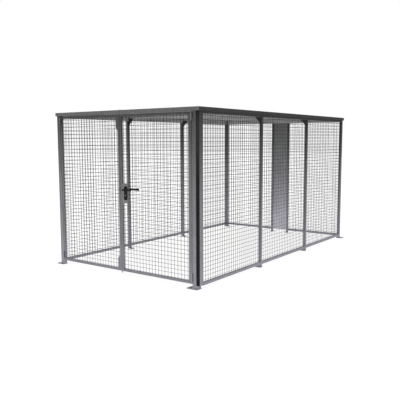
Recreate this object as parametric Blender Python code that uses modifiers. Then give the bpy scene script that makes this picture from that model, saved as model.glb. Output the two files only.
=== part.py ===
"""Walk-in wire mesh storage enclosure with a double leaf door, in metres, +Z up.

The origin is on the floor under the middle of the frame. The door is in the -Y end.
"""
import math

import bmesh
import bpy
from mathutils import Matrix, Vector

# Frame
HALF_W = 1.198            # outer plane of the side walls
HALF_L = 2.095            # outer plane of the end walls
HEIGHT = 2.090            # top of the roof sheet
SHEET = 0.002             # roof and rear sheet thickness
GAP = 0.0003              # gap between pieces that touch
WALL = 0.0025             # wall of every hollow section
POST_X = 0.060            # corner post, along X
SLIM_POST_X = 0.040       # the rear right post is slimmer
POST_Y = 0.050            # corner post, along Y
PLATE = 0.008             # foot plate thickness
FRAME_TOP = HEIGHT - SHEET - GAP
BEAM_DEPTH = 0.070
BEAM_THICK = 0.040
BEAM_BOTTOM = FRAME_TOP - BEAM_DEPTH
HEADER_BOTTOM = 2.046
PURLIN_DEPTH = 0.030
PURLIN_WIDE = 0.070

# Near right corner
RIGHT_POST_IN = 1.101     # inner face of the front right post
RIGHT_POST_OUT = 1.156    # the side channel starts here
CHANNEL_FRONT = 0.0123    # side channel's set-back behind the front plane
CHANNEL_BACK = 0.082      # side channel's rear face behind the front plane
BASE_TOP = 0.050
BASE_X = (1.101, 1.165)   # closed block at the foot of the post
BASE_BACK = 0.081

# Side and rear walls
SIDE_POST = 0.040
SIDE_POST_WIDE = 0.035
PURLIN_Y = (-0.698, 0.678)
POST_OFFSET = 0.029       # side posts stand this far in front of (left) or behind (right) the purlins
FOOT_REACH = 0.095        # wall's outer plane to the inner end of a side post's foot
REAR_POST = 0.030
REAR_POST_IN = 0.141      # rear posts stand this far each side of the sheet's middle
REAR_MIDDLE = 0.017
RAIL = 0.034
RAIL_BOTTOM = 0.042
RAIL_TOP = RAIL_BOTTOM + RAIL
MESH_THICK = 0.008
MESH_INSET = 0.012        # outer plane of a wall to the outer face of its mesh
MESH_BAR = 0.012
KNEE = 0.080
KNEE_THICK = 0.006

# Roof
OVERHANG = 0.015
RIM_DEPTH = 0.045

# Door leaves
LEAF_Y = 0.025            # leaf depth behind the front plane
STILE = 0.030
MEETING_STILE = 0.030
ACTIVE_HINGE_STILE = 0.045
LEAF_BOTTOM = 0.062
LEAF_TOP = 2.038
LEAF_RAIL_TOP = LEAF_BOTTOM + STILE
PASSIVE_X = (-1.133, -0.0265)
ACTIVE_X = (-0.0225, 1.096)
CORNER_PLATE = 0.034      # stiffening plate beside the meeting stile, along X
CORNER_PLATE_TALL = 0.166

# Hinges
HINGE_X = (-1.1355, 1.0985)
HINGE_Y = -HALF_L - 0.0083
HINGE_R = 0.008
HINGE_PIN_R = 0.004
HINGE_BORE_R = 0.0043
HINGE_EAR = 0.016
HINGE_Z = (0.095, 1.935)
HINGE_TALL = 0.090

# Drop bolts on the passive leaf
BOLT_X = -0.049
BOLT_Y = -HALF_L + 0.035
BOLT_R = 0.007
GUIDE_BORE = 0.0075
GUIDE_TALL = 0.014
DROP_TIP = 0.030
DROP_TOP = 0.420
LIFT_TIP = 2.043
LIFT_END = 1.650

# Lock
LOCK_X = (0.0078, 0.100)
LOCK_Z = (0.934, 1.179)
LOCK_Y = (-HALF_L - 0.0025, -HALF_L + 0.0275)
LOCK_MIDDLE = (LOCK_Y[0] + LOCK_Y[1]) / 2
SPINDLE_X = 0.0665
LEVER_Z = 1.107
KEY_Z = 1.035
LATCH_TIP = ACTIVE_X[0] - 0.012
DEAD_BOLT_Z = 1.061
BOLT_TAIL_X = SPINDLE_X - 0.025
LEVER_REACH = 0.056       # lock box face to the middle of a lever arm
LEVER_LONG = 0.145
ESCUTCHEON_WIDE = 0.045
ESCUTCHEON_Z = (0.978, 1.145)
ESCUTCHEON_THICK = 0.008

GALVANISED = ((0.24, 0.245, 0.255), 0.55, 0.85)
ZINC = ((0.33, 0.34, 0.35), 0.40, 0.90)
BLACK = ((0.012, 0.012, 0.013), 0.35, 0.0)
NICKEL = ((0.55, 0.54, 0.50), 0.30, 1.0)
STRIP = ((0.020, 0.020, 0.021), 0.70, 0.0)


def clear_scene():
    for obj in list(bpy.data.objects):
        bpy.data.objects.remove(obj, do_unlink=True)


def finish_material(name, finish):
    color, roughness, metallic = finish
    material = bpy.data.materials.new(name + "_finish")
    material.use_nodes = True
    shader = material.node_tree.nodes["Principled BSDF"]
    shader.inputs["Base Color"].default_value = (*color, 1.0)
    shader.inputs["Roughness"].default_value = roughness
    shader.inputs["Metallic"].default_value = metallic
    return material


def link(name, mesh):
    obj = bpy.data.objects.new(name, mesh)
    PARTS.objects.link(obj)
    return obj


def evaluated_mesh(obj):
    graph = bpy.context.evaluated_depsgraph_get()
    graph.update()
    return bpy.data.meshes.new_from_object(obj.evaluated_get(graph))


def box(name, low, high):
    """A block between two opposite corners, with its origin at its middle."""
    low = Vector(low)
    high = Vector(high)
    size = high - low
    bm = bmesh.new()
    bmesh.ops.create_cube(bm, size=1.0, matrix=Matrix.Diagonal((*size, 1.0)))
    mesh = bpy.data.meshes.new(name)
    bm.to_mesh(mesh)
    bm.free()
    obj = link(name, mesh)
    obj.location = (low + high) / 2
    return obj


def cylinder(name, radius, start, end, segments=20):
    """A round bar between two points on a row axis."""
    start = Vector(start)
    end = Vector(end)
    along = end - start
    turn = Vector((0, 0, 1)).rotation_difference(along).to_matrix().to_4x4()
    bm = bmesh.new()
    bmesh.ops.create_cone(bm, cap_ends=True, segments=segments, radius1=radius,
                          radius2=radius, depth=along.length, matrix=turn)
    mesh = bpy.data.meshes.new(name)
    bm.to_mesh(mesh)
    bm.free()
    mesh.shade_smooth()
    mesh.set_sharp_from_angle(angle=math.radians(40))
    obj = link(name, mesh)
    obj.location = (start + end) / 2
    return obj


def rectangle(low_a, high_a, low_b, high_b):
    return [(low_a, low_b), (high_a, low_b), (high_a, high_b), (low_a, high_b)]


SECTION_TURN = {
    "X": Matrix(((0, 0, 1, 0), (1, 0, 0, 0), (0, 1, 0, 0), (0, 0, 0, 1))),
    "Y": Matrix(((1, 0, 0, 0), (0, 0, -1, 0), (0, 1, 0, 0), (0, 0, 0, 1))),
    "Z": Matrix.Identity(4),
}
SECTION_AXIS = {"X": Vector((1, 0, 0)), "Y": Vector((0, 1, 0)), "Z": Vector((0, 0, 1))}


def section(name, axis, low, high, outline, windows=()):
    """A flat outline with windows, drawn out along one axis from low to high.

    The outline's two coordinates are (y, z), (x, z) or (x, y) for X, Y and Z.
    """
    corners_a = [a for a, b in outline]
    corners_b = [b for a, b in outline]
    middle_a = (min(corners_a) + max(corners_a)) / 2
    middle_b = (min(corners_b) + max(corners_b)) / 2
    curve = bpy.data.curves.new(name, "CURVE")
    curve.dimensions = "2D"
    curve.fill_mode = "BOTH"
    curve.extrude = (high - low) / 2
    for loop in [outline, *windows]:
        spline = curve.splines.new("POLY")
        spline.points.add(len(loop) - 1)
        spline.use_cyclic_u = True
        for point, (a, b) in zip(spline.points, loop):
            point.co = (a - middle_a, b - middle_b, 0.0, 1.0)
    flat = link(name + "_outline", curve)
    middle = {
        "X": Vector((0, middle_a, middle_b)),
        "Y": Vector((middle_a, 0, middle_b)),
        "Z": Vector((middle_a, middle_b, 0)),
    }[axis]
    mesh = evaluated_mesh(flat)
    mesh.transform(SECTION_TURN[axis])
    bpy.data.objects.remove(flat, do_unlink=True)
    bm = bmesh.new()
    bm.from_mesh(mesh)
    bmesh.ops.remove_doubles(bm, verts=bm.verts, dist=0.00001)
    bmesh.ops.recalc_face_normals(bm, faces=bm.faces)
    bm.to_mesh(mesh)
    bm.free()
    obj = link(name, mesh)
    obj.location = middle + SECTION_AXIS[axis] * (low + high) / 2
    return obj


def tube(name, axis, low, high, corners, wall=WALL):
    """A hollow rectangular section, open at both ends."""
    low_a, high_a, low_b, high_b = corners
    inner = rectangle(low_a + wall, high_a - wall, low_b + wall, high_b - wall)
    return section(name, axis, low, high, rectangle(*corners), [inner])


def combine(obj, tools, operation):
    """Cut tools from a piece, or join them to it, and leave a plain mesh."""
    for tool in tools:
        modifier = obj.modifiers.new(operation.lower(), "BOOLEAN")
        modifier.operation = operation
        modifier.solver = "EXACT"
        modifier.object = tool
    mesh = evaluated_mesh(obj)
    obj.modifiers.clear()
    obj.data = mesh
    for tool in tools:
        bpy.data.objects.remove(tool, do_unlink=True)
    return obj


def join(obj, *tools):
    return combine(obj, tools, "UNION")


def cut(obj, *tools):
    return combine(obj, tools, "DIFFERENCE")


def dress(obj, finish):
    obj.data.materials.clear()
    obj.data.materials.append(finish_material(obj.name, finish))
    return obj


def move_origin(obj, point):
    """Put an object's origin on its joint's axis without moving the object."""
    shift = Vector(point) - obj.location
    obj.data.transform(Matrix.Translation(-shift))
    obj.location = point


def hold(pieces, pivot):
    """Parent loose pieces to the empty on their joint's axis."""
    for piece in pieces:
        piece.parent = pivot
        piece.location = piece.location - pivot.location


def pivot_at(name, point):
    empty = bpy.data.objects.new(name, None)
    PARTS.objects.link(empty)
    empty.location = point
    return empty


def foot(name, x_range, y_range):
    return box(name, (x_range[0], y_range[0], 0), (x_range[1], y_range[1], PLATE))


def corner_post(name, side_x, side_y, foot_x, foot_y, wide=POST_X):
    xs = sorted((side_x * HALF_W, side_x * (HALF_W - wide)))
    ys = sorted((side_y * HALF_L, side_y * (HALF_L - POST_Y)))
    post = tube(name, "Z", PLATE - 0.002, FRAME_TOP, (*xs, *ys))
    join(post, foot(name + "_foot", foot_x, foot_y))
    return dress(post, GALVANISED)


def front_right_post():
    """Post, side channel and closed base block in one piece, stepped for the strip."""
    front = -HALF_L
    set_back = front + CHANNEL_FRONT
    outline = [
        (RIGHT_POST_IN, front), (RIGHT_POST_OUT, front), (RIGHT_POST_OUT, set_back),
        (HALF_W, set_back), (HALF_W, front + CHANNEL_BACK),
        (RIGHT_POST_OUT, front + CHANNEL_BACK), (RIGHT_POST_OUT, front + POST_Y),
        (RIGHT_POST_IN, front + POST_Y),
    ]
    post_hollow = rectangle(RIGHT_POST_IN + WALL, RIGHT_POST_OUT - WALL,
                            front + WALL, front + POST_Y - WALL)
    channel_hollow = rectangle(RIGHT_POST_OUT + WALL, HALF_W - WALL,
                               set_back + WALL, front + CHANNEL_BACK - WALL)
    post = section("front_right_post", "Z", BASE_TOP - 0.002, FRAME_TOP, outline,
                   [post_hollow, channel_hollow])
    base = box("base", (BASE_X[0], front, PLATE - 0.002),
               (BASE_X[1], front + BASE_BACK, BASE_TOP))
    plate = foot("plate", (1.020, 1.172), (front - 0.012, front + BASE_BACK + 0.002))
    join(post, base, plate)
    return dress(post, GALVANISED)


def corner_strip():
    strip = box("corner_strip", (RIGHT_POST_OUT + GAP, -HALF_L, BASE_TOP + GAP),
                (HALF_W, -HALF_L + CHANNEL_FRONT - GAP, LEAF_TOP + 0.002))
    return dress(strip, STRIP)


def side_post(name, side, y):
    """Intermediate wall post with an inward foot plate and a knee under the roof."""
    outer = side * HALF_W
    inner = side * (HALF_W - SIDE_POST)
    tip = side * (HALF_W - SIDE_POST - KNEE)
    xs = sorted((outer, inner))
    half = SIDE_POST_WIDE / 2
    post = tube(name, "Z", PLATE - 0.002, BEAM_BOTTOM - GAP, (*xs, y - half, y + half))
    plate_x = sorted((outer, side * (HALF_W - FOOT_REACH)))
    under_purlin = FRAME_TOP - PURLIN_DEPTH - GAP
    beam_face = side * (HALF_W - BEAM_THICK - GAP)
    root = inner + side * 0.001
    knee_outline = [
        (root, BEAM_BOTTOM - GAP), (beam_face, BEAM_BOTTOM - GAP), (beam_face, under_purlin),
        (tip, under_purlin), (tip, under_purlin - 0.030), (root, BEAM_BOTTOM - KNEE),
    ]
    knee = section(name + "_knee", "Y", y - KNEE_THICK / 2, y + KNEE_THICK / 2, knee_outline)
    join(post, foot(name + "_foot", plate_x, (y - 0.030, y + 0.030)), knee)
    return dress(post, GALVANISED)


def rear_post(name, side):
    xs = sorted(REAR_MIDDLE + side * reach for reach in (REAR_POST_IN, REAR_POST_IN + REAR_POST))
    post = tube(name, "Z", PLATE - 0.002, BEAM_BOTTOM - GAP,
                (*xs, HALF_L - REAR_POST, HALF_L))
    middle = sum(xs) / 2
    join(post, foot(name + "_foot", (middle - 0.025, middle + 0.025), (HALF_L - 0.060, HALF_L)))
    return dress(post, GALVANISED)


def front_header():
    """Header over the door, with a hole underneath for the upper bolt."""
    header = tube("front_header", "X", -HALF_W + POST_X + GAP, RIGHT_POST_IN - GAP,
                  (-HALF_L, -HALF_L + POST_Y, HEADER_BOTTOM, FRAME_TOP))
    cut(header, cylinder("bolt_hole", 0.0095, (BOLT_X, BOLT_Y, HEADER_BOTTOM - 0.01),
                         (BOLT_X, BOLT_Y, HEADER_BOTTOM + 0.01)))
    return dress(header, GALVANISED)


def side_post_places(side):
    return [y + side * POST_OFFSET for y in PURLIN_Y]


def wall_bays(side, first_start):
    """The three openings along a side wall, between posts."""
    half = SIDE_POST_WIDE / 2 + GAP
    starts = [first_start, *(y + half for y in side_post_places(side))]
    ends = [*(y - half for y in side_post_places(side)), HALF_L - POST_Y - GAP]
    return list(zip(starts, ends))


def grid_windows(low_a, high_a, low_b, high_b, columns, rows):
    """Equal windows with a bar between them and round the edge."""
    step_a = (high_a - low_a - MESH_BAR) / columns
    step_b = (high_b - low_b - MESH_BAR) / rows
    windows = []
    for column in range(columns):
        for row in range(rows):
            a = low_a + MESH_BAR + column * step_a
            b = low_b + MESH_BAR + row * step_b
            windows.append(rectangle(a, a + step_a - MESH_BAR, b, b + step_b - MESH_BAR))
    return windows


def mesh_panel(name, axis, low, high, corners, columns, rows):
    panel = section(name, axis, low, high, rectangle(*corners),
                    grid_windows(*corners, columns, rows))
    return dress(panel, ZINC)


def side_wall(label, side, first_start):
    rail_x = sorted((side * HALF_W, side * (HALF_W - RAIL)))
    mesh_x = sorted((side * (HALF_W - MESH_INSET), side * (HALF_W - MESH_INSET - MESH_THICK)))
    for number, (start, end) in enumerate(wall_bays(side, first_start), 1):
        rail = section(f"{label}_rail_{number}", "Y", start, end,
                       rectangle(*rail_x, RAIL_BOTTOM, RAIL_TOP),
                       [rectangle(rail_x[0] + WALL, rail_x[1] - WALL,
                                  RAIL_BOTTOM + WALL, RAIL_TOP - WALL)])
        dress(rail, GALVANISED)
        mesh_panel(f"{label}_mesh_{number}", "X", *mesh_x,
                   (start, end, RAIL_TOP + GAP, BEAM_BOTTOM - GAP), 4, 5)
    beam_x = sorted((side * HALF_W, side * (HALF_W - BEAM_THICK)))
    beam = tube(f"{label}_beam", "Y", first_start, HALF_L - POST_Y - GAP,
                (*beam_x, BEAM_BOTTOM, FRAME_TOP))
    dress(beam, GALVANISED)
    for number, y in enumerate(side_post_places(side), 1):
        side_post(f"{label}_post_{number}", side, y)


def rear_wall():
    beam = tube("rear_beam", "X", -HALF_W + POST_X + GAP, HALF_W - SLIM_POST_X - GAP,
                (HALF_L - BEAM_THICK, HALF_L, BEAM_BOTTOM, FRAME_TOP))
    dress(beam, GALVANISED)
    mesh_y = (HALF_L - MESH_INSET - MESH_THICK, HALF_L - MESH_INSET)
    for label, side, corner in (("left", -1, POST_X), ("right", 1, SLIM_POST_X)):
        rear_post(f"rear_post_{label}", side)
        near = REAR_MIDDLE + side * (REAR_POST_IN + REAR_POST + GAP)
        xs = sorted((near, side * (HALF_W - corner - GAP)))
        rail = tube(f"rear_rail_{label}", "X", *xs,
                    (HALF_L - RAIL, HALF_L, RAIL_BOTTOM, RAIL_TOP))
        dress(rail, GALVANISED)
        mesh_panel(f"rear_mesh_{label}", "Y", *mesh_y,
                   (*xs, RAIL_TOP + GAP, BEAM_BOTTOM - GAP), 3, 5)
    sheet = box("rear_wall_sheet",
                (REAR_MIDDLE - REAR_POST_IN + GAP, HALF_L - 0.016, 0.045),
                (REAR_MIDDLE + REAR_POST_IN - GAP, HALF_L - 0.016 + SHEET, BEAM_BOTTOM - GAP))
    dress(sheet, GALVANISED)


def roof_half(name, side):
    """A folded tray: flat sheet with a rim on its three outer edges."""
    outer_x = side * (HALF_W + OVERHANG)
    end = HALF_L + OVERHANG
    xs = sorted((outer_x, side * GAP / 2))
    inner_x = sorted((outer_x - side * SHEET, -side * 0.1))
    tray = box(name, (xs[0], -end, HEIGHT - RIM_DEPTH), (xs[1], end, HEIGHT))
    cut(tray, box("tray_inside", (inner_x[0], -end + SHEET, HEIGHT - RIM_DEPTH - 0.1),
                  (inner_x[1], end - SHEET, HEIGHT - SHEET)))
    return dress(tray, GALVANISED)


def purlin(name, y):
    bar = tube(name, "X", -HALF_W + BEAM_THICK + GAP, HALF_W - BEAM_THICK - GAP,
               (y - PURLIN_WIDE / 2, y + PURLIN_WIDE / 2,
                FRAME_TOP - PURLIN_DEPTH, FRAME_TOP))
    return dress(bar, GALVANISED)


def leaf_frame(name, x_range, left_stile, right_stile):
    """A hollow welded ring, its stiles open at both ends."""
    left, right = x_range
    front = -HALF_L
    back = front + LEAF_Y
    frame = section(name, "Y", front, back, rectangle(left, right, LEAF_BOTTOM, LEAF_TOP),
                    [rectangle(left + left_stile, right - right_stile,
                               LEAF_RAIL_TOP, LEAF_TOP - STILE)])
    hollows = []
    stiles = ((left, left + left_stile), (right - right_stile, right))
    for number, (low, high) in enumerate(stiles):
        hollows.append(box(f"stile_hollow_{number}",
                           (low + WALL, front + WALL, LEAF_BOTTOM - 0.01),
                           (high - WALL, back - WALL, LEAF_TOP + 0.01)))
    rails = ((LEAF_BOTTOM, LEAF_RAIL_TOP), (LEAF_TOP - STILE, LEAF_TOP))
    for number, (low, high) in enumerate(rails):
        hollows.append(box(f"rail_hollow_{number}",
                           (left + left_stile / 2, front + WALL, low + WALL),
                           (right - right_stile / 2, back - WALL, high - WALL)))
    cut(frame, *hollows)
    return frame


def corner_plates():
    """Chamfered stiffeners at the head and foot of the meeting stile."""
    edge = PASSIVE_X[1] - MEETING_STILE + 0.001
    far = PASSIVE_X[1] - MEETING_STILE - CORNER_PLATE
    chamfer = 0.030
    plates = []
    for number, (root, way) in enumerate(((LEAF_RAIL_TOP - 0.001, 1), (LEAF_TOP - STILE + 0.001, -1))):
        tip = root + way * CORNER_PLATE_TALL
        outline = [(far, root), (edge, root), (edge, tip), (far + chamfer, tip),
                   (far, tip - way * chamfer)]
        plates.append(section(f"corner_plate_{number}", "Y", -HALF_L + 0.001, -HALF_L + 0.005,
                              outline))
    return plates


def bolt_guides():
    """Bored lugs on the back of the meeting stile, two for each bolt."""
    guides = []
    for number, z in enumerate((0.110, 0.360, 1.700, 1.960)):
        lug = box(f"guide_{number}", (BOLT_X - 0.012, -HALF_L + LEAF_Y - 0.001, z),
                  (BOLT_X + 0.012, BOLT_Y + 0.013, z + GUIDE_TALL))
        cut(lug, cylinder("guide_bore", GUIDE_BORE, (BOLT_X, BOLT_Y, z - 0.01),
                          (BOLT_X, BOLT_Y, z + GUIDE_TALL + 0.01), 24))
        guides.append(lug)
    return guides


def passive_leaf():
    frame = leaf_frame("passive_leaf_frame", PASSIVE_X, STILE, MEETING_STILE)
    join(frame, *corner_plates())
    join(frame, *bolt_guides())
    latch_notch = box("latch_notch", (PASSIVE_X[1] - 0.011, -HALF_L - 0.01, LEVER_Z - 0.020),
                      (PASSIVE_X[1] + 0.01, -HALF_L + LEAF_Y + 0.01, LEVER_Z + 0.020))
    bolt_slot = box("bolt_slot", (PASSIVE_X[1] - 0.010, LOCK_MIDDLE - 0.006, DEAD_BOLT_Z - 0.017),
                    (PASSIVE_X[1] + 0.01, LOCK_MIDDLE + 0.006, DEAD_BOLT_Z + 0.017))
    cut(frame, latch_notch, bolt_slot)
    dress(frame, GALVANISED)
    mesh_y = -HALF_L + LEAF_Y / 2
    panel = mesh_panel("passive_leaf_mesh", "Y", mesh_y - MESH_THICK / 2, mesh_y + MESH_THICK / 2,
                       (PASSIVE_X[0] + STILE + GAP, PASSIVE_X[1] - MEETING_STILE - GAP,
                        LEAF_RAIL_TOP + GAP, LEAF_TOP - STILE - GAP), 3, 5)
    shift_clear_of_plates(panel)
    return [frame, panel]


def shift_clear_of_plates(panel):
    """The corner plates stand in front of the mesh, so it keeps clear behind them."""
    panel.location.y += 0.003


def active_leaf():
    frame = leaf_frame("active_leaf_frame", ACTIVE_X, STILE, ACTIVE_HINGE_STILE)
    latch_slot = box("latch_slot", (ACTIVE_X[0] - 0.01, LOCK_MIDDLE - 0.006, LEVER_Z - 0.012),
                     (ACTIVE_X[0] + STILE + 0.01, LOCK_MIDDLE + 0.006, LEVER_Z + 0.012))
    dead_slot = box("dead_slot", (ACTIVE_X[0] - 0.01, LOCK_MIDDLE - 0.005, DEAD_BOLT_Z - 0.015),
                    (ACTIVE_X[0] + STILE + 0.01, LOCK_MIDDLE + 0.005, DEAD_BOLT_Z + 0.015))
    cut(frame, latch_slot, dead_slot)
    dress(frame, GALVANISED)
    mesh_y = -HALF_L + LEAF_Y / 2
    corners = (ACTIVE_X[0] + STILE + GAP, ACTIVE_X[1] - ACTIVE_HINGE_STILE - GAP,
               LEAF_RAIL_TOP + GAP, LEAF_TOP - STILE - GAP)
    panel = mesh_panel("active_leaf_mesh", "Y", mesh_y - MESH_THICK / 2, mesh_y + MESH_THICK / 2,
                       corners, 3, 5)
    cut(panel, box("lock_cutout", (LOCK_X[0] - 0.01, -HALF_L - 0.1, LOCK_Z[0] - GAP),
                   (LOCK_X[1] + GAP, -HALF_L + 0.1, LOCK_Z[1] + GAP)))
    return [frame, panel]


def hinge(label, side, z):
    """A lift-off barrel hinge: the lower knuckle and its pin stay, the upper one turns."""
    x = HINGE_X[0] if side < 0 else HINGE_X[1]
    middle = z + HINGE_TALL / 2
    ear_y = (HINGE_Y, -HALF_L - GAP)
    fixed = cylinder(f"{label}_fixed", HINGE_R, (x, HINGE_Y, z), (x, HINGE_Y, middle))
    fixed_ear_x = sorted((x + side * 0.0034, x + side * HINGE_EAR))
    fixed_ear = box("fixed_ear", (fixed_ear_x[0], ear_y[1] - 0.003, z + 0.004),
                    (fixed_ear_x[1], ear_y[1], middle - 0.004))
    pin = cylinder("pin", HINGE_PIN_R, (x, HINGE_Y, middle - 0.005), (x, HINGE_Y, middle + 0.035))
    join(fixed, fixed_ear, pin)
    moving = cylinder(f"{label}_moving", HINGE_R, (x, HINGE_Y, middle + 0.0005),
                      (x, HINGE_Y, z + HINGE_TALL))
    moving_ear_x = sorted((x - side * 0.0034, x - side * HINGE_EAR))
    moving_ear = box("moving_ear", (moving_ear_x[0], ear_y[1] - 0.003, middle + 0.005),
                     (moving_ear_x[1], ear_y[1], z + HINGE_TALL - 0.004))
    join(moving, moving_ear)
    cut(moving, cylinder("bore", HINGE_BORE_R, (x, HINGE_Y, middle - 0.01),
                         (x, HINGE_Y, middle + 0.036)))
    dress(fixed, ZINC)
    dress(moving, ZINC)
    return moving


def slide_bolt(name, tip, far, knob_z):
    """A round bolt with a turned-out knob for lifting it."""
    rod = cylinder(name, BOLT_R, (BOLT_X, BOLT_Y, tip), (BOLT_X, BOLT_Y, far))
    join(rod, cylinder("knob", 0.005, (BOLT_X, BOLT_Y, knob_z), (BOLT_X, BOLT_Y + 0.045, knob_z), 16))
    return dress(rod, ZINC)


def lock_box():
    """Sheet case welded behind the lock stile, open towards it."""
    case = box("lock_box", (LOCK_X[0], LOCK_Y[0], LOCK_Z[0]), (LOCK_X[1], LOCK_Y[1], LOCK_Z[1]))
    cut(case,
        box("case_inside", (LOCK_X[0] - 0.01, LOCK_Y[0] + SHEET, LOCK_Z[0] + SHEET),
            (LOCK_X[1] - SHEET, LOCK_Y[1] - SHEET, LOCK_Z[1] - SHEET)),
        cylinder("spindle_hole", 0.0080, (SPINDLE_X, LOCK_Y[0] - 0.01, LEVER_Z),
                 (SPINDLE_X, LOCK_Y[1] + 0.01, LEVER_Z)),
        cylinder("cylinder_hole", 0.0092, (SPINDLE_X, LOCK_Y[0] - 0.01, KEY_Z),
                 (SPINDLE_X, LOCK_Y[1] + 0.01, KEY_Z)))
    return dress(case, GALVANISED)


def escutcheon(name, face_y, way):
    """Long plate with a hole for the lever's neck and one for the cylinder."""
    ys = sorted((face_y + way * GAP, face_y + way * (GAP + ESCUTCHEON_THICK)))
    half = ESCUTCHEON_WIDE / 2
    plate = box(name, (SPINDLE_X - half, ys[0], ESCUTCHEON_Z[0]),
                (SPINDLE_X + half, ys[1], ESCUTCHEON_Z[1]))
    cut(plate,
        cylinder("neck_hole", 0.0100, (SPINDLE_X, ys[0] - 0.01, LEVER_Z),
                 (SPINDLE_X, ys[1] + 0.01, LEVER_Z), 24),
        cylinder("key_hole", 0.0092, (SPINDLE_X, ys[0] - 0.01, KEY_Z),
                 (SPINDLE_X, ys[1] + 0.01, KEY_Z), 24))
    return dress(plate, BLACK)


def lever(name, face_y, way):
    """Neck and straight arm, with a square socket for the spindle."""
    neck_start = face_y + way * 0.004
    arm_y = face_y + way * LEVER_REACH
    neck = cylinder(name, 0.0095, (SPINDLE_X, neck_start, LEVER_Z), (SPINDLE_X, arm_y, LEVER_Z), 24)
    arm = box("arm", (SPINDLE_X - 0.0105, arm_y - 0.007, LEVER_Z - 0.0105),
              (SPINDLE_X + LEVER_LONG, arm_y + 0.007, LEVER_Z + 0.0105))
    rounding = arm.modifiers.new("rounding", "BEVEL")
    rounding.width = 0.004
    rounding.segments = 2
    join(neck, arm)
    cut(neck, box("socket", (SPINDLE_X - 0.0043, min(neck_start - way * 0.01, neck_start + way * 0.030),
                             LEVER_Z - 0.0043),
                  (SPINDLE_X + 0.0043, max(neck_start - way * 0.01, neck_start + way * 0.030),
                   LEVER_Z + 0.0043)))
    return dress(neck, BLACK)


def spindle():
    bar = box("spindle", (SPINDLE_X - 0.004, LOCK_Y[0] - 0.030, LEVER_Z - 0.004),
              (SPINDLE_X + 0.004, LOCK_Y[1] + 0.030, LEVER_Z + 0.004))
    return dress(bar, ZINC)


def flat_bolt(name, tip, z, half_thick, half_tall):
    bolt = box(name, (tip, LOCK_MIDDLE - half_thick, z - half_tall),
               (BOLT_TAIL_X, LOCK_MIDDLE + half_thick, z + half_tall))
    return dress(bolt, ZINC)


def key_cylinder():
    """Cylinder body through the case, bored from the front for the turning plug."""
    front = LOCK_Y[0] - ESCUTCHEON_THICK - 0.002
    back = LOCK_Y[1] + ESCUTCHEON_THICK + 0.002
    body = cylinder("key_cylinder", 0.0089, (SPINDLE_X, front, KEY_Z), (SPINDLE_X, back, KEY_Z), 24)
    cut(body, cylinder("plug_bore", 0.0063, (SPINDLE_X, front - 0.01, KEY_Z),
                       (SPINDLE_X, front + 0.026, KEY_Z), 24))
    dress(body, BLACK)
    plug = cylinder("key_plug", 0.0060, (SPINDLE_X, front, KEY_Z), (SPINDLE_X, front + 0.025, KEY_Z), 24)
    cut(plug, box("keyway", (SPINDLE_X - 0.001, front - 0.01, KEY_Z - 0.0045),
                  (SPINDLE_X + 0.001, front + 0.018, KEY_Z + 0.0045)))
    dress(plug, NICKEL)
    return [body, plug]


clear_scene()
PARTS = bpy.data.collections.new("mesh_enclosure")
bpy.context.scene.collection.children.link(PARTS)

corner_post("front_left_post", -1, -1, (-1.270, -1.138), (-2.115, -2.035))
front_right_post()
corner_post("back_left_post", -1, 1, (-1.198, -1.100), (2.035, 2.107))
corner_post("back_right_post", 1, 1, (1.145, 1.245), (2.045, 2.155), SLIM_POST_X)
corner_strip()
side_wall("left", -1, -HALF_L + POST_Y + GAP)
side_wall("right", 1, -HALF_L + CHANNEL_BACK + GAP)
rear_wall()
front_header()
purlin("purlin_front", PURLIN_Y[0])
purlin("purlin_rear", PURLIN_Y[1])
roof_half("roof_left", -1)
roof_half("roof_right", 1)

passive_pieces = passive_leaf()
active_pieces = active_leaf()
for level, z in zip(("low", "high"), HINGE_Z):
    passive_pieces.append(hinge(f"left_hinge_{level}", -1, z))
    active_pieces.append(hinge(f"right_hinge_{level}", 1, z))
passive_pieces.append(slide_bolt("top_bolt", LIFT_END, LIFT_TIP, 1.820))
passive_pieces.append(slide_bolt("drop_bolt", DROP_TIP, DROP_TOP, 0.230))

active_pieces.append(lock_box())
active_pieces.append(escutcheon("outer_escutcheon", LOCK_Y[0], -1))
active_pieces.append(escutcheon("inner_escutcheon", LOCK_Y[1], 1))
active_pieces.extend(key_cylinder())
active_pieces.append(flat_bolt("latch_bolt", LATCH_TIP, LEVER_Z, 0.005, 0.011))
active_pieces.append(flat_bolt("dead_bolt", ACTIVE_X[0] + GAP, DEAD_BOLT_Z, 0.004, 0.014))
lever_point = Vector((SPINDLE_X, LOCK_MIDDLE, LEVER_Z))
for turning in (lever("outer_lever", LOCK_Y[0], -1), lever("inner_lever", LOCK_Y[1], 1), spindle()):
    move_origin(turning, lever_point)
    active_pieces.append(turning)

hold(passive_pieces, pivot_at("passive_leaf_pivot", Vector((HINGE_X[0], HINGE_Y, 0))))
hold(active_pieces, pivot_at("active_leaf_pivot", Vector((HINGE_X[1], HINGE_Y, 0))))
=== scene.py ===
"""Looks for the walk-in mesh enclosure: wire mesh, galvanised finish, lock, floor, light, camera."""
import math

import bmesh
import bpy
from mathutils import Matrix, Vector


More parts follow.
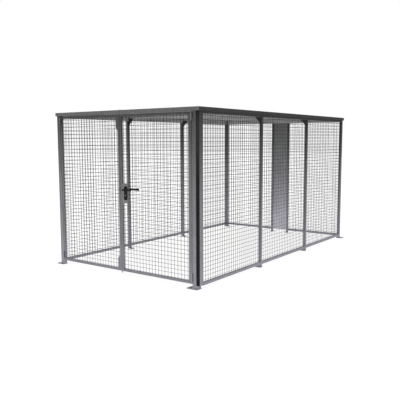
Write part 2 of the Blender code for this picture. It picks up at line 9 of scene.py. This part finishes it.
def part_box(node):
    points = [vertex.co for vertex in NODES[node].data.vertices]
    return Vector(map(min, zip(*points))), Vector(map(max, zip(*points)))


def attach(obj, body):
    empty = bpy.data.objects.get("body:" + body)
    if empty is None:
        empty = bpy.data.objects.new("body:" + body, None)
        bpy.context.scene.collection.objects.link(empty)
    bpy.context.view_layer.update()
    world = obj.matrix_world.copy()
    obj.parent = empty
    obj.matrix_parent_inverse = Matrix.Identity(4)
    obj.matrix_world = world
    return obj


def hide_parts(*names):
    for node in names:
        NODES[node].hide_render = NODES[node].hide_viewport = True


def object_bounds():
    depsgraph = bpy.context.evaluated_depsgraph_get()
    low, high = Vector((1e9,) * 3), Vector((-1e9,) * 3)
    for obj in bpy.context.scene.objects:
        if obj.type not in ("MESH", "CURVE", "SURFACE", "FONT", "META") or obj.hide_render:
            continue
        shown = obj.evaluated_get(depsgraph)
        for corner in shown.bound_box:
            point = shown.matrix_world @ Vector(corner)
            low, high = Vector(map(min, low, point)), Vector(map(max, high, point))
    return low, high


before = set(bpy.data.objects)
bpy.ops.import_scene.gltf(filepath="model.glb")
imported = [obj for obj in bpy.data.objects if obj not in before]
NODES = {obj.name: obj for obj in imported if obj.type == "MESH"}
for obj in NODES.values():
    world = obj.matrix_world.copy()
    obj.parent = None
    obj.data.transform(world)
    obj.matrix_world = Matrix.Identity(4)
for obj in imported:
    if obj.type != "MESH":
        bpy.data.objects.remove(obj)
cad_low, cad_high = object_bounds()
HEIGHT = cad_high.z

# Wire mesh
WIRE_R = 0.0022
PITCH = 0.050
WIRE_SIDES = 8
WIRE_CLEAR = 0.0004
WIRE_OFFSET = 0.94          # a wire's axis is this share of its radius off the mesh's middle plane

# The lock's cut-out in the active leaf's mesh, past the lock box
CUT_OUT_SIDE = 0.010
CUT_OUT_EDGE = 0.001
SHORTEST_WIRE = 0.004

# Lever handles
HANDLE_HEAD = 0.0105        # from the blunt end to the turning axis
ARM_HEAD = 0.0095           # how far the arm itself starts before the turning axis
ARM_STANDOFF = 0.007        # from the outermost face to the arm's middle
ARM_HALF_Y = 0.0090
ARM_HALF_Z = 0.0125
ARM_WAIST = 0.0016
ARM_SQUARENESS = 0.6        # 1 is an ellipse, smaller is squarer
ARM_BLUNT = 0.05
HEAD_ROUND = 0.07
TIP_ROUND = 0.06
ARM_STATIONS = 22
ARM_SIDES = 20
NECK_SIDES = 28
NECK = ((0.0, 0.0093), (0.10, 0.0093), (0.55, 0.0082), (1.0, 0.0088))   # share of the way, radius

# Frame members that the welds follow
PLATE_TOP = 0.008
POST_WIDE = 0.060
SLIM_POST_WIDE = 0.040
POST_DEEP = 0.050
SIDE_POST_DEEP = 0.040
SIDE_POST_WIDE = 0.035
LEAF_TUBE = 0.030
HINGE_STILE = 0.045

# Weld beads
CAGE_BEAD_R = 0.0024
LEAF_BEAD_R = 0.0016
BEAD_STEP = 0.006
BEAD_DIP = 0.72
BEAD_END = 0.001
BEAD_PROUD = 0.0003

# Screws
ROOF_SCREW_X = (0.15, 0.55, 0.95)
ROOF_SCREW_SHARES = (0.33, 0.67)
ROOF_SCREW = (0.0045, 0.005, 6)         # radius, height, sides
PLATE_SCREW = (0.0032, 0.0022, 16)
PLATE_SCREW_INSET = 0.014

# Cover over the joint between the roof halves
SEAM_OUTLINE = ((-0.024, 0.0), (-0.020, 0.0022), (0.020, 0.0022), (0.024, 0.0))
SEAM_INSET = 0.004

# Colour shift near the floor and near the roof, as red, green and blue shares of a grey
LOW_TINT = (1.010, 0.990, 1.125)
HIGH_TINT = (0.990, 1.010, 0.985)

# Grey levels by share of the enclosure's height. Most carry painted shade: darker towards the roof and
# lighter near the floor
FRAME_PAINTED_SHADE = ((0.0, 0.34), (0.25, 0.275), (0.52, 0.220), (0.80, 0.120), (1.0, 0.070))
# Faces of the frame looking along X: a darker painted-shade set
FRAME_SIDE_PAINTED_SHADE = ((0.0, 0.34), (0.25, 0.28), (0.52, 0.225), (0.80, 0.095), (1.0, 0.042))
LEAF_PAINTED_SHADE = ((0.0, 0.29), (0.25, 0.230), (0.52, 0.190), (0.80, 0.112), (1.0, 0.066))
SHEET_PAINTED_SHADE = ((0.15, 0.64), (0.55, 0.335), (0.92, 0.245))
WIRE_PAINTED_SHADE = ((0.0, 0.17), (0.12, 0.13), (0.45, 0.035), (1.0, 0.014))
WELD_PAINTED_SHADE = ((0.0, 0.33), (1.0, 0.12))
ZINC_PAINTED_SHADE = ((0.0, 0.34), (1.0, 0.18))
BLACK_TONE = ((0.0, 0.006), (1.0, 0.006))
# The black strip's lighter band near its top is a painted sheen
STRIP_PAINTED_SHEEN = ((0.0, 0.008), (0.62, 0.006), (0.80, 0.022), (0.93, 0.018), (0.985, 0.003))
NICKEL_TONE = ((0.0, 0.55), (1.0, 0.62))

# Rounding of sharp edges, by a word in the node's name
EDGE = {"post": 0.0011, "beam": 0.0011, "rail": 0.0011, "header": 0.0011, "purlin": 0.0011,
        "leaf_frame": 0.0010, "escutcheon": 0.0016, "lock_box": 0.0008, "strip": 0.0022,
        "roof": 0.0007, "hinge": 0.0006, "bolt": 0.0009}
EDGE_SEGMENTS = 2
EDGE_ANGLE = 50.0

# Floor and light
FLOOR_HALF = 60.0
FLOOR_GREY = 0.25
FLOOR_GLOW = 0.85
OVERHEAD_POWER = 250.0
FILL_POWER = 60.0

# Camera
CAMERA_AT = (4.826, -7.038, 1.716)
CAMERA_TURN = 36.169
CAMERA_DOWN = 6.230
CAMERA_ROLL = -0.184
CAMERA_LENS = 49.27
CAMERA_SENSOR = 36.0
CAMERA_REACH = 200.0


# ---------------------------------------------------------------- shader building blocks

def new_material(name):
    material = bpy.data.materials.new(name)
    material.use_nodes = True
    tree = material.node_tree
    return material, tree, tree.nodes["Principled BSDF"]


def node(tree, kind, **values):
    made = tree.nodes.new(kind)
    for key, value in values.items():
        setattr(made, key, value)
    return made


def position(tree, scale=(1.0, 1.0, 1.0)):
    """Object coordinates, which are the part's own frame on every piece, stretched by axis."""
    coords = node(tree, "ShaderNodeTexCoord")
    mapping = node(tree, "ShaderNodeMapping")
    mapping.inputs["Scale"].default_value = scale
    tree.links.new(coords.outputs["Object"], mapping.inputs["Vector"])
    return mapping.outputs["Vector"]


def noise(tree, vector, scale, detail):
    made = node(tree, "ShaderNodeTexNoise")
    made.inputs["Scale"].default_value = scale
    made.inputs["Detail"].default_value = detail
    made.inputs["Roughness"].default_value = 0.55
    tree.links.new(vector, made.inputs["Vector"])
    return made.outputs["Fac"]


def ramp(tree, factor, stops):
    made = node(tree, "ShaderNodeValToRGB")
    elements = made.color_ramp.elements
    while len(elements) < len(stops):
        elements.new(0.5)
    for element, (place, color) in zip(elements, stops):
        element.position = place
        element.color = (*color, 1.0)
    tree.links.new(factor, made.inputs["Fac"])
    return made.outputs["Color"]


def mix(tree, factor, first, second):
    made = node(tree, "ShaderNodeMix", data_type="RGBA")
    tree.links.new(factor, made.inputs["Factor"])
    tree.links.new(first, made.inputs["A"])
    tree.links.new(second, made.inputs["B"])
    return made.outputs["Result"]


def multiply(tree, first, second):
    made = node(tree, "ShaderNodeMix", data_type="RGBA", blend_type="MULTIPLY")
    made.inputs["Factor"].default_value = 1.0
    tree.links.new(first, made.inputs["A"])
    tree.links.new(second, made.inputs["B"])
    return made.outputs["Result"]


def spread_roughness(tree, shader, source, low, high):
    """Varies the roughness between two values with a source that runs from 0 to 1."""
    gloss = node(tree, "ShaderNodeMapRange")
    gloss.inputs["To Min"].default_value = low
    gloss.inputs["To Max"].default_value = high
    tree.links.new(source, gloss.inputs["Value"])
    tree.links.new(gloss.outputs["Result"], shader.inputs["Roughness"])


def bump_from(tree, shader, height, strength, distance):
    bump = node(tree, "ShaderNodeBump")
    bump.inputs["Strength"].default_value = strength
    bump.inputs["Distance"].default_value = distance
    tree.links.new(height, bump.inputs["Height"])
    tree.links.new(bump.outputs["Normal"], shader.inputs["Normal"])


def grey(level):
    return (level, level, level)


def height_tint(level, share):
    """A grey that is a little violet near the floor and neutral near the roof."""
    return tuple(level * (low + (high - low) * share) for low, high in zip(LOW_TINT, HIGH_TINT))


def height_share(tree):
    """Height above the floor as a share of the enclosure's height."""
    split = node(tree, "ShaderNodeSeparateXYZ")
    tree.links.new(position(tree, (1.0, 1.0, 1.0 / HEIGHT)), split.inputs["Vector"])
    return split.outputs["Z"]


def facing(tree, axis):
    """How squarely a face looks along one of the part's own axes, either way."""
    coords = node(tree, "ShaderNodeTexCoord")
    split = node(tree, "ShaderNodeSeparateXYZ")
    tree.links.new(coords.outputs["Normal"], split.inputs["Vector"])
    size = node(tree, "ShaderNodeMath", operation="ABSOLUTE")
    tree.links.new(split.outputs[axis], size.inputs[0])
    return size.outputs["Value"]


# ---------------------------------------------------------------- tones, with painted shade

def painted_shade_by_height(tree, levels):
    """Grey levels from the floor to the roof, with painted shade: darker towards the roof, lighter near
    the floor.
    """
    return ramp(tree, height_share(tree), [(share, height_tint(level, share)) for share, level in levels])


def painted_shade_by_facing(tree, end_face, side_face, flat_face):
    """Painted shade by face: separate grey levels for faces looking along Y, X and Z, lit and shaded
    copies of one finish.
    """
    upright = ramp(tree, facing(tree, "X"), [(0.45, grey(end_face)), (0.55, grey(side_face))])
    flat_share = ramp(tree, facing(tree, "Z"), [(0.45, grey(0.0)), (0.55, grey(1.0))])
    flat = ramp(tree, facing(tree, "Z"), [(0.0, grey(flat_face)), (1.0, grey(flat_face))])
    return mix(tree, flat_share, upright, flat)


# Painted shade by height, darker towards the roof
def height_painted_shade(levels):
    return lambda tree: painted_shade_by_height(tree, levels)


def height_and_face_painted_shade(front, side):
    """Grey levels by height with painted shade, with their own darker painted-shade set for faces
    looking along X.
    """
    return lambda tree: mix(tree, facing(tree, "X"), painted_shade_by_height(tree, front), painted_shade_by_height(tree, side))


# Painted shade by face, used for the roof, eaves and beams
def turned(end_face, side_face, flat_face):
    return lambda tree: painted_shade_by_facing(tree, end_face, side_face, flat_face)


# ---------------------------------------------------------------- materials

def galvanised(name, tone, rough=0.50, metallic=0.75, spangle=72.0):
    """Hot-dip zinc: crystal spangle, run marks down the steel, dull bloom and fine grain."""
    material, tree, shader = new_material(name)
    crystals = node(tree, "ShaderNodeTexVoronoi", feature="F1")
    crystals.inputs["Scale"].default_value = spangle
    tree.links.new(position(tree), crystals.inputs["Vector"])
    split = node(tree, "ShaderNodeSeparateColor")
    tree.links.new(crystals.outputs["Color"], split.inputs["Color"])
    runs = noise(tree, position(tree, (22.0, 22.0, 1.3)), 1.6, 5.0)
    bloom = noise(tree, position(tree), 2.4, 3.0)
    cells = ramp(tree, split.outputs["Red"], [(0.0, grey(0.86)), (1.0, grey(1.0))])
    marks = ramp(tree, runs, [(0.35, grey(0.84)), (0.65, grey(1.0))])
    cloud = ramp(tree, bloom, [(0.35, grey(0.90)), (0.65, grey(1.0))])
    # tone carries the painted shade: darker towards the roof, and darker on some faces by direction
    base = multiply(tree, multiply(tree, multiply(tree, tone(tree), cells), marks), cloud)
    tree.links.new(base, shader.inputs["Base Color"])
    spread_roughness(tree, shader, split.outputs["Green"], rough - 0.10, rough + 0.12)
    shader.inputs["Metallic"].default_value = metallic
    shader.inputs["Specular IOR Level"].default_value = 0.1
    bump_from(tree, shader, noise(tree, position(tree), 160.0, 3.0), 0.25, 0.0006)
    return material


def moulded(name, tone, rough, grain_scale=420.0, metallic=0.0):
    """Fine-grained plastic, rubber or nickel, a little brighter in patches where it is handled."""
    material, tree, shader = new_material(name)
    patches = noise(tree, position(tree), 26.0, 4.0)
    wear = ramp(tree, patches, [(0.30, grey(0.55)), (0.75, grey(1.0))])
    # tone is the grey by height; on the black strip it carries a painted sheen, a lighter band near the
    # top
    tree.links.new(multiply(tree, tone(tree), wear), shader.inputs["Base Color"])
    spread_roughness(tree, shader, patches, rough - 0.06, rough + 0.10)
    shader.inputs["Metallic"].default_value = metallic
    shader.inputs["Specular IOR Level"].default_value = 0.12
    bump_from(tree, shader, noise(tree, position(tree), grain_scale, 2.0), 0.3, 0.0002)
    return material


# Painted shade by height on the frame, leaves, sheet, wire, welds and fittings
STEEL = galvanised("galvanised_steel", height_and_face_painted_shade(FRAME_PAINTED_SHADE, FRAME_SIDE_PAINTED_SHADE))
LEAF_STEEL = galvanised("galvanised_leaf", height_painted_shade(LEAF_PAINTED_SHADE))
# Painted shade by face: faces looking along X darker than those along Y; the roof's flat faces and the
# beams are painted lighter to lift the shade under the roof
ROOF_STEEL = galvanised("galvanised_roof", turned(0.140, 0.052, 0.31), 0.90, 0.0)
EAVES_STEEL = galvanised("galvanised_eaves", turned(0.160, 0.056, 0.15), 0.80, 0.2)
BEAM_STEEL = galvanised("galvanised_beam", turned(0.50, 0.40, 0.48), 0.80, 0.2)
SHEET_STEEL = galvanised("galvanised_sheet", height_painted_shade(SHEET_PAINTED_SHADE), 0.55)
WIRE_STEEL = galvanised("galvanised_wire", height_painted_shade(WIRE_PAINTED_SHADE), 0.55, 0.40, 112.0)
WELD_STEEL = galvanised("galvanised_weld", height_painted_shade(WELD_PAINTED_SHADE), 0.60, 0.75, 160.0)
ZINC = galvanised("zinc_fittings", height_painted_shade(ZINC_PAINTED_SHADE), 0.36, 0.75, 240.0)
BLACK = moulded("black_lock_set", height_painted_shade(BLACK_TONE), 0.45)
STRIP = moulded("black_strip", height_painted_shade(STRIP_PAINTED_SHEEN), 0.55, 90.0)
NICKEL = moulded("nickel_plug", height_painted_shade(NICKEL_TONE), 0.28, 300.0, 1.0)


# ---------------------------------------------------------------- carried-over CAD nodes

def material_for(name):
    if name in ("outer_escutcheon", "inner_escutcheon", "outer_lever", "inner_lever", "key_cylinder"):
        return BLACK
    if name == "corner_strip":
        return STRIP
    if name == "key_plug":
        return NICKEL
    if name.startswith("roof_"):
        return ROOF_STEEL
    if name in ("right_beam", "front_header"):
        return EAVES_STEEL
    if "beam" in name or "purlin" in name:
        return BEAM_STEEL
    if name == "rear_wall_sheet":
        return SHEET_STEEL
    if "hinge" in name or name.endswith("bolt") or name == "spindle":
        return ZINC
    if name.endswith("leaf_frame"):
        return LEAF_STEEL
    return STEEL


def soften(obj, width):
    """Rounds the sharp edges of a carried-over node without touching its mesh."""
    bevel = obj.modifiers.new("edge", "BEVEL")
    bevel.width = width
    bevel.segments = EDGE_SEGMENTS
    bevel.limit_method = "ANGLE"
    bevel.angle_limit = math.radians(EDGE_ANGLE)
    bevel.harden_normals = False


def dress(name, obj):
    obj.data.materials.clear()
    obj.data.materials.append(material_for(name))
    widths = [width for word, width in EDGE.items() if word in name]
    if widths and "mesh" not in name:
        soften(obj, widths[0])


for name, obj in NODES.items():
    dress(name, obj)


# ---------------------------------------------------------------- building helpers

def object_from(name, bm, material, body, smooth=None):
    """An object that rides on a body. smooth is the angle over which an edge stays sharp."""
    mesh = bpy.data.meshes.new(name)
    bm.to_mesh(mesh)
    bm.free()
    obj = bpy.data.objects.new(name, mesh)
    bpy.context.scene.collection.objects.link(obj)
    mesh.materials.append(material)
    if smooth is not None:
        mesh.shade_smooth()
        mesh.set_sharp_from_angle(angle=math.radians(smooth))
    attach(obj, body)
    return obj


def rod_between(bm, start, end, radius, sides):
    start = Vector(start)
    end = Vector(end)
    along = end - start
    turn = Vector((0, 0, 1)).rotation_difference(along).to_matrix().to_4x4()
    bmesh.ops.create_cone(bm, cap_ends=True, segments=sides, radius1=radius, radius2=radius,
                          depth=along.length, matrix=Matrix.Translation((start + end) / 2) @ turn)


def skin(bm, rings):
    """A closed surface over rings of the same number of vertices, capped at both ends."""
    made = []
    sides = len(rings[0])
    for first, second in zip(rings, rings[1:]):
        for number in range(sides):
            follow = (number + 1) % sides
            made.append(bm.faces.new((first[number], first[follow], second[follow], second[number])))
    made.append(bm.faces.new(rings[0][::-1]))
    made.append(bm.faces.new(rings[-1]))
    bmesh.ops.recalc_face_normals(bm, faces=made)


def middle(name, axis):
    low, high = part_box(name)
    return (low[axis] + high[axis]) / 2


# ---------------------------------------------------------------- wire mesh

def wire_places(low, high):
    """Wire centres at the mesh pitch, centred between two frame members."""
    count = int((high - low - 2 * WIRE_R) // PITCH) + 1
    start = (low + high - (count - 1) * PITCH) / 2
    return [start + number * PITCH for number in range(count)]


def wire_runs(wire, start, end, hole_wires, hole_span):
    """One wire's straight runs, broken where it crosses a cut-out."""
    if hole_wires[0] < wire < hole_wires[1]:
        runs = ((start, hole_span[0]), (hole_span[1], end))
        return [(s, e) for s, e in runs if e - s > SHORTEST_WIRE]
    return [(start, end)]


def wire_mesh(name, body, hole=((0.0, 0.0), (0.0, 0.0))):
    """Straight welded wires at one pitch both ways, in place of a lattice node.

    hole is a cut-out's span across the mesh and its span in height.
    """
    low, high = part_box(name)
    size = high - low
    across = 0 if size.x > size.y else 1
    thin = 1 - across
    plane = (low[thin] + high[thin]) / 2
    outward = 1 if plane > 0 else -1
    upright_at = plane + outward * WIRE_R * WIRE_OFFSET
    level_at = plane - outward * WIRE_R * WIRE_OFFSET
    bm = bmesh.new()

    def place(along, depth, z):
        point = [0.0, 0.0, z]
        point[across] = along
        point[thin] = depth
        return point

    hole_across, hole_z = hole
    for a in wire_places(low[across], high[across]):
        for z0, z1 in wire_runs(a, low.z + WIRE_CLEAR, high.z - WIRE_CLEAR, hole_across, hole_z):
            rod_between(bm, place(a, upright_at, z0), place(a, upright_at, z1), WIRE_R, WIRE_SIDES)
    for z in wire_places(low.z, high.z):
        ends = (low[across] + WIRE_CLEAR, high[across] - WIRE_CLEAR)
        for a0, a1 in wire_runs(z, *ends, hole_z, hole_across):
            rod_between(bm, place(a0, level_at, z), place(a1, level_at, z), WIRE_R, WIRE_SIDES)
    obj = object_from(name.replace("mesh", "wire_mesh"), bm, WIRE_STEEL, body, 50)
    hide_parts(name)


lock_low, lock_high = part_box("lock_box")
LOCK_CUT_OUT = ((lock_low.x - CUT_OUT_SIDE, lock_high.x + CUT_OUT_EDGE),
                (lock_low.z - CUT_OUT_EDGE, lock_high.z + CUT_OUT_EDGE))
for name in [n for n in NODES if "_mesh" in n]:
    if name.startswith("active"):
        wire_mesh(name, "active_leaf", LOCK_CUT_OUT)
    elif name.startswith("passive"):
        wire_mesh(name, "passive_leaf")
    else:
        wire_mesh(name, "cage")


# ---------------------------------------------------------------- lever handles

def rounding(share, run):
    """How far an arm has opened from its blunt end, which is rounded over a run of its length."""
    left = 1 - min(share / run, 1.0)
    return min(1.0, math.sqrt(1 - left ** 2) + ARM_BLUNT)


def arm_ring(bm, x, y, z, half_y, half_z):
    """One section of the arm, a rounded square across X."""
    ring = []
    for number in range(ARM_SIDES):
        angle = 2 * math.pi * number / ARM_SIDES
        c, s = math.cos(angle), math.sin(angle)
        off_y = math.copysign(abs(c) ** ARM_SQUARENESS, c) * half_y
        off_z = math.copysign(abs(s) ** ARM_SQUARENESS, s) * half_z
        ring.append(bm.verts.new((x, y + off_y, z + off_z)))
    return ring


def lathe_y(bm, centre_x, centre_z, start, end, profile):
    """A closed turned shape along Y. profile is (share of the way, radius)."""
    rings = []
    for share, radius in profile:
        y = start + (end - start) * share
        ring = []
        for number in range(NECK_SIDES):
            angle = 2 * math.pi * number / NECK_SIDES
            x = centre_x + radius * math.cos(angle)
            z = centre_z + radius * math.sin(angle)
            ring.append(bm.verts.new((x, y, z)))
        rings.append(ring)
    skin(bm, rings)


def lever_handle(name):
    """A round neck and a rounded arm that is slimmest halfway along."""
    low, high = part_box(name)
    axis_x = low.x + HANDLE_HEAD
    z = (low.z + high.z) / 2
    outside = (low.y + high.y) / 2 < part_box("lock_box")[0].y
    root_y = high.y if outside else low.y
    arm_y = low.y + ARM_STANDOFF if outside else high.y - ARM_STANDOFF
    reach = high.x - axis_x
    bm = bmesh.new()
    rings = []
    for station in range(ARM_STATIONS + 1):
        t = station / ARM_STATIONS
        x = axis_x - ARM_HEAD + (reach + ARM_HEAD) * t
        cap = min(rounding(t, HEAD_ROUND), rounding(1 - t, TIP_ROUND))
        half_z = (ARM_HALF_Z - ARM_WAIST * math.sin(math.pi * t)) * cap
        rings.append(arm_ring(bm, x, arm_y, z, ARM_HALF_Y * cap, half_z))
    skin(bm, rings)
    lathe_y(bm, axis_x, z, root_y, arm_y, NECK)
    obj = object_from(name + "_handle", bm, BLACK, "lever_set", 40)
    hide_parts(name)


lever_handle("outer_lever")
lever_handle("inner_lever")


# ---------------------------------------------------------------- welds

SIDE_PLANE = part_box("right_beam")[1].x
REAR_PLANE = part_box("rear_beam")[1].y
FRONT_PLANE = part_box("active_leaf_frame")[0].y


def bead(curve, start, end):
    """A rippled weld run along a straight joint."""
    start = Vector(start)
    end = Vector(end)
    count = max(3, int((end - start).length / BEAD_STEP) + 1)
    spline = curve.splines.new("POLY")
    spline.points.add(count - 1)
    for number, point in enumerate(spline.points):
        point.co = (*start.lerp(end, number / (count - 1)), 1.0)
        point.radius = 1.0 if number % 2 else BEAD_DIP


def bead_set(name, body, runs, radius):
    curve = bpy.data.curves.new(name, "CURVE")
    curve.dimensions = "3D"
    curve.bevel_depth = radius
    curve.bevel_resolution = 1
    curve.use_fill_caps = True
    for start, end in runs:
        bead(curve, start, end)
    obj = bpy.data.objects.new(name, curve)
    bpy.context.scene.collection.objects.link(obj)
    curve.materials.append(WELD_STEEL)
    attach(obj, body)


def ring_runs(low_x, high_x, low_y, high_y):
    """Weld runs round a tube that stands on a foot plate."""
    z = PLATE_TOP
    corners = [(low_x, low_y, z), (high_x, low_y, z), (high_x, high_y, z), (low_x, high_y, z)]
    return list(zip(corners, corners[1:] + corners[:1]))


def tube_span(name, depth):
    """The X span of a tube whose outer face is in its side wall's plane."""
    side = -1 if "left" in name else 1
    return sorted((side * SIDE_PLANE, side * (SIDE_PLANE - depth)))


def corner_post_runs(name, width):
    if "front" in name:
        ys = (FRONT_PLANE, FRONT_PLANE + POST_DEEP)
    else:
        ys = (REAR_PLANE - POST_DEEP, REAR_PLANE)
    return ring_runs(*tube_span(name, width), *ys)


def side_post_runs(name):
    y = middle(name, 1)
    return ring_runs(*tube_span(name, SIDE_POST_DEEP), y - SIDE_POST_WIDE / 2, y + SIDE_POST_WIDE / 2)


def leaf_runs(name, right_stile):
    """Short welds where a leaf's rails meet its stiles, on the outer face."""
    low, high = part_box(name)
    y = FRONT_PLANE - BEAD_PROUD
    runs = []
    for x in (low.x + LEAF_TUBE, high.x - right_stile):
        for rail_low in (low.z, high.z - LEAF_TUBE):
            runs.append(((x, y, rail_low + BEAD_END), (x, y, rail_low + LEAF_TUBE - BEAD_END)))
    return runs


cage_runs = corner_post_runs("front_left_post", POST_WIDE)
cage_runs += corner_post_runs("back_left_post", POST_WIDE)
cage_runs += corner_post_runs("back_right_post", SLIM_POST_WIDE)
for name in ("left_post_1", "left_post_2", "right_post_1", "right_post_2"):
    cage_runs += side_post_runs(name)
bead_set("cage_welds", "cage", cage_runs, CAGE_BEAD_R)
bead_set("passive_leaf_welds", "passive_leaf", leaf_runs("passive_leaf_frame", LEAF_TUBE), LEAF_BEAD_R)
bead_set("active_leaf_welds", "active_leaf", leaf_runs("active_leaf_frame", HINGE_STILE), LEAF_BEAD_R)


# ---------------------------------------------------------------- screws

def screw_heads(name, body, points, axis, head, material):
    """Flanged heads standing on a surface, all facing one way. head is radius, height and sides."""
    radius, height, sides = head
    axis = Vector(axis)
    turn = Vector((0, 0, 1)).rotation_difference(axis).to_matrix().to_4x4()
    bm = bmesh.new()
    for point in points:
        seat = Vector(point)
        flange_at = Matrix.Translation(seat + axis * height * 0.15) @ turn
        head_at = Matrix.Translation(seat + axis * height * 0.62) @ turn
        bmesh.ops.create_cone(bm, cap_ends=True, segments=20, radius1=radius * 1.35,
                              radius2=radius * 1.25, depth=height * 0.3, matrix=flange_at)
        bmesh.ops.create_cone(bm, cap_ends=True, segments=sides, radius1=radius,
                              radius2=radius * 0.92, depth=height * 0.7, matrix=head_at)
    obj = object_from(name, bm, material, body, 30)


roof_low, roof_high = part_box("roof_left")
roof_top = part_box("roof_right")[1].z


def roof_screw_points():
    """Rows over the header, purlins and rear beam, and screws between the rows over both eaves."""
    rows = [middle(name, 1) for name in ("front_header", "purlin_front", "purlin_rear", "rear_beam")]
    gaps = zip(rows, rows[1:])
    between = [low + (high - low) * share for low, high in gaps for share in ROOF_SCREW_SHARES]
    eaves_x = middle("right_beam", 0)
    points = []
    for side in (-1, 1):
        points += [(side * x, y, roof_top) for y in rows for x in ROOF_SCREW_X]
        points += [(side * eaves_x, y, roof_top) for y in between]
    return points


def plate_screws(plate, way):
    """The two screws on an escutcheon's outer face, which looks along Y by the sign of way."""
    low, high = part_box(plate)
    x = (low.x + high.x) / 2
    y = low.y if way < 0 else high.y
    points = [(x, y, high.z - PLATE_SCREW_INSET), (x, y, low.z + PLATE_SCREW_INSET)]
    screw_heads(plate.replace("escutcheon", "plate_screws"), "active_leaf", points, (0, way, 0),
                PLATE_SCREW, BLACK)


screw_heads("roof_screws", "cage", roof_screw_points(), (0, 0, 1), ROOF_SCREW, ZINC)
plate_screws("outer_escutcheon", -1)
plate_screws("inner_escutcheon", 1)


# ---------------------------------------------------------------- roof seam

def seam_cover():
    """Folded cover over the joint between the roof halves."""
    bm = bmesh.new()
    half_long = roof_high.y - SEAM_INSET
    ends = []
    for y in (-half_long, half_long):
        ends.append([bm.verts.new((x, y, roof_top + z)) for x, z in SEAM_OUTLINE])
    skin(bm, ends)
    cover = object_from("roof_seam_cover", bm, ROOF_STEEL, "cage")


seam_cover()


# ---------------------------------------------------------------- floor, light, camera

def floor():
    """A wide white sweep that glows enough to leave no heavy shadow."""
    bm = bmesh.new()
    bmesh.ops.create_grid(bm, x_segments=1, y_segments=1, size=FLOOR_HALF)
    mesh = bpy.data.meshes.new("studio_floor")
    bm.to_mesh(mesh)
    bm.free()
    ground = bpy.data.objects.new("studio_floor", mesh)
    bpy.context.scene.collection.objects.link(ground)
    ground.location.z = cad_low.z
    material, tree, shader = new_material("studio_floor")
    shader.inputs["Base Color"].default_value = (*grey(FLOOR_GREY), 1.0)
    shader.inputs["Roughness"].default_value = 0.9
    shader.inputs["Specular IOR Level"].default_value = 0.0
    shader.inputs["Emission Color"].default_value = (1.0, 1.0, 1.0, 1.0)
    shader.inputs["Emission Strength"].default_value = FLOOR_GLOW
    mesh.materials.append(material)


def soft_light(name, place, target, size, power):
    lamp = bpy.data.lights.new(name, "AREA")
    lamp.shape = "RECTANGLE"
    lamp.size, lamp.size_y = size
    lamp.energy = power
    obj = bpy.data.objects.new(name, lamp)
    bpy.context.scene.collection.objects.link(obj)
    obj.location = place
    obj.rotation_euler = (Vector(target) - Vector(place)).to_track_quat("-Z", "Y").to_euler()


def white_world():
    world = bpy.data.worlds.new("studio")
    world.use_nodes = True
    background = world.node_tree.nodes["Background"]
    background.inputs["Color"].default_value = (1.0, 1.0, 1.0, 1.0)
    background.inputs["Strength"].default_value = 1.0
    bpy.context.scene.world = world


def camera():
    lens = bpy.data.cameras.new("camera")
    lens.lens = CAMERA_LENS
    lens.sensor_width = CAMERA_SENSOR
    lens.clip_end = CAMERA_REACH
    viewer = bpy.data.objects.new("camera", lens)
    bpy.context.scene.collection.objects.link(viewer)
    viewer.matrix_world = (
        Matrix.Translation(CAMERA_AT)
        @ Matrix.Rotation(math.radians(CAMERA_TURN), 4, "Z")
        @ Matrix.Rotation(math.radians(90 - CAMERA_DOWN), 4, "X")
        @ Matrix.Rotation(math.radians(CAMERA_ROLL), 4, "Z")
    )
    bpy.context.scene.camera = viewer


floor()
soft_light("overhead", (0.0, -1.0, 9.0), (0, 0, 0), (9.0, 9.0), OVERHEAD_POWER)
soft_light("front_fill", (-3.0, -9.0, 3.5), (0, -2, 1.0), (5.0, 3.0), FILL_POWER)
white_world()
camera()
bpy.context.scene.view_settings.view_transform = "Standard"
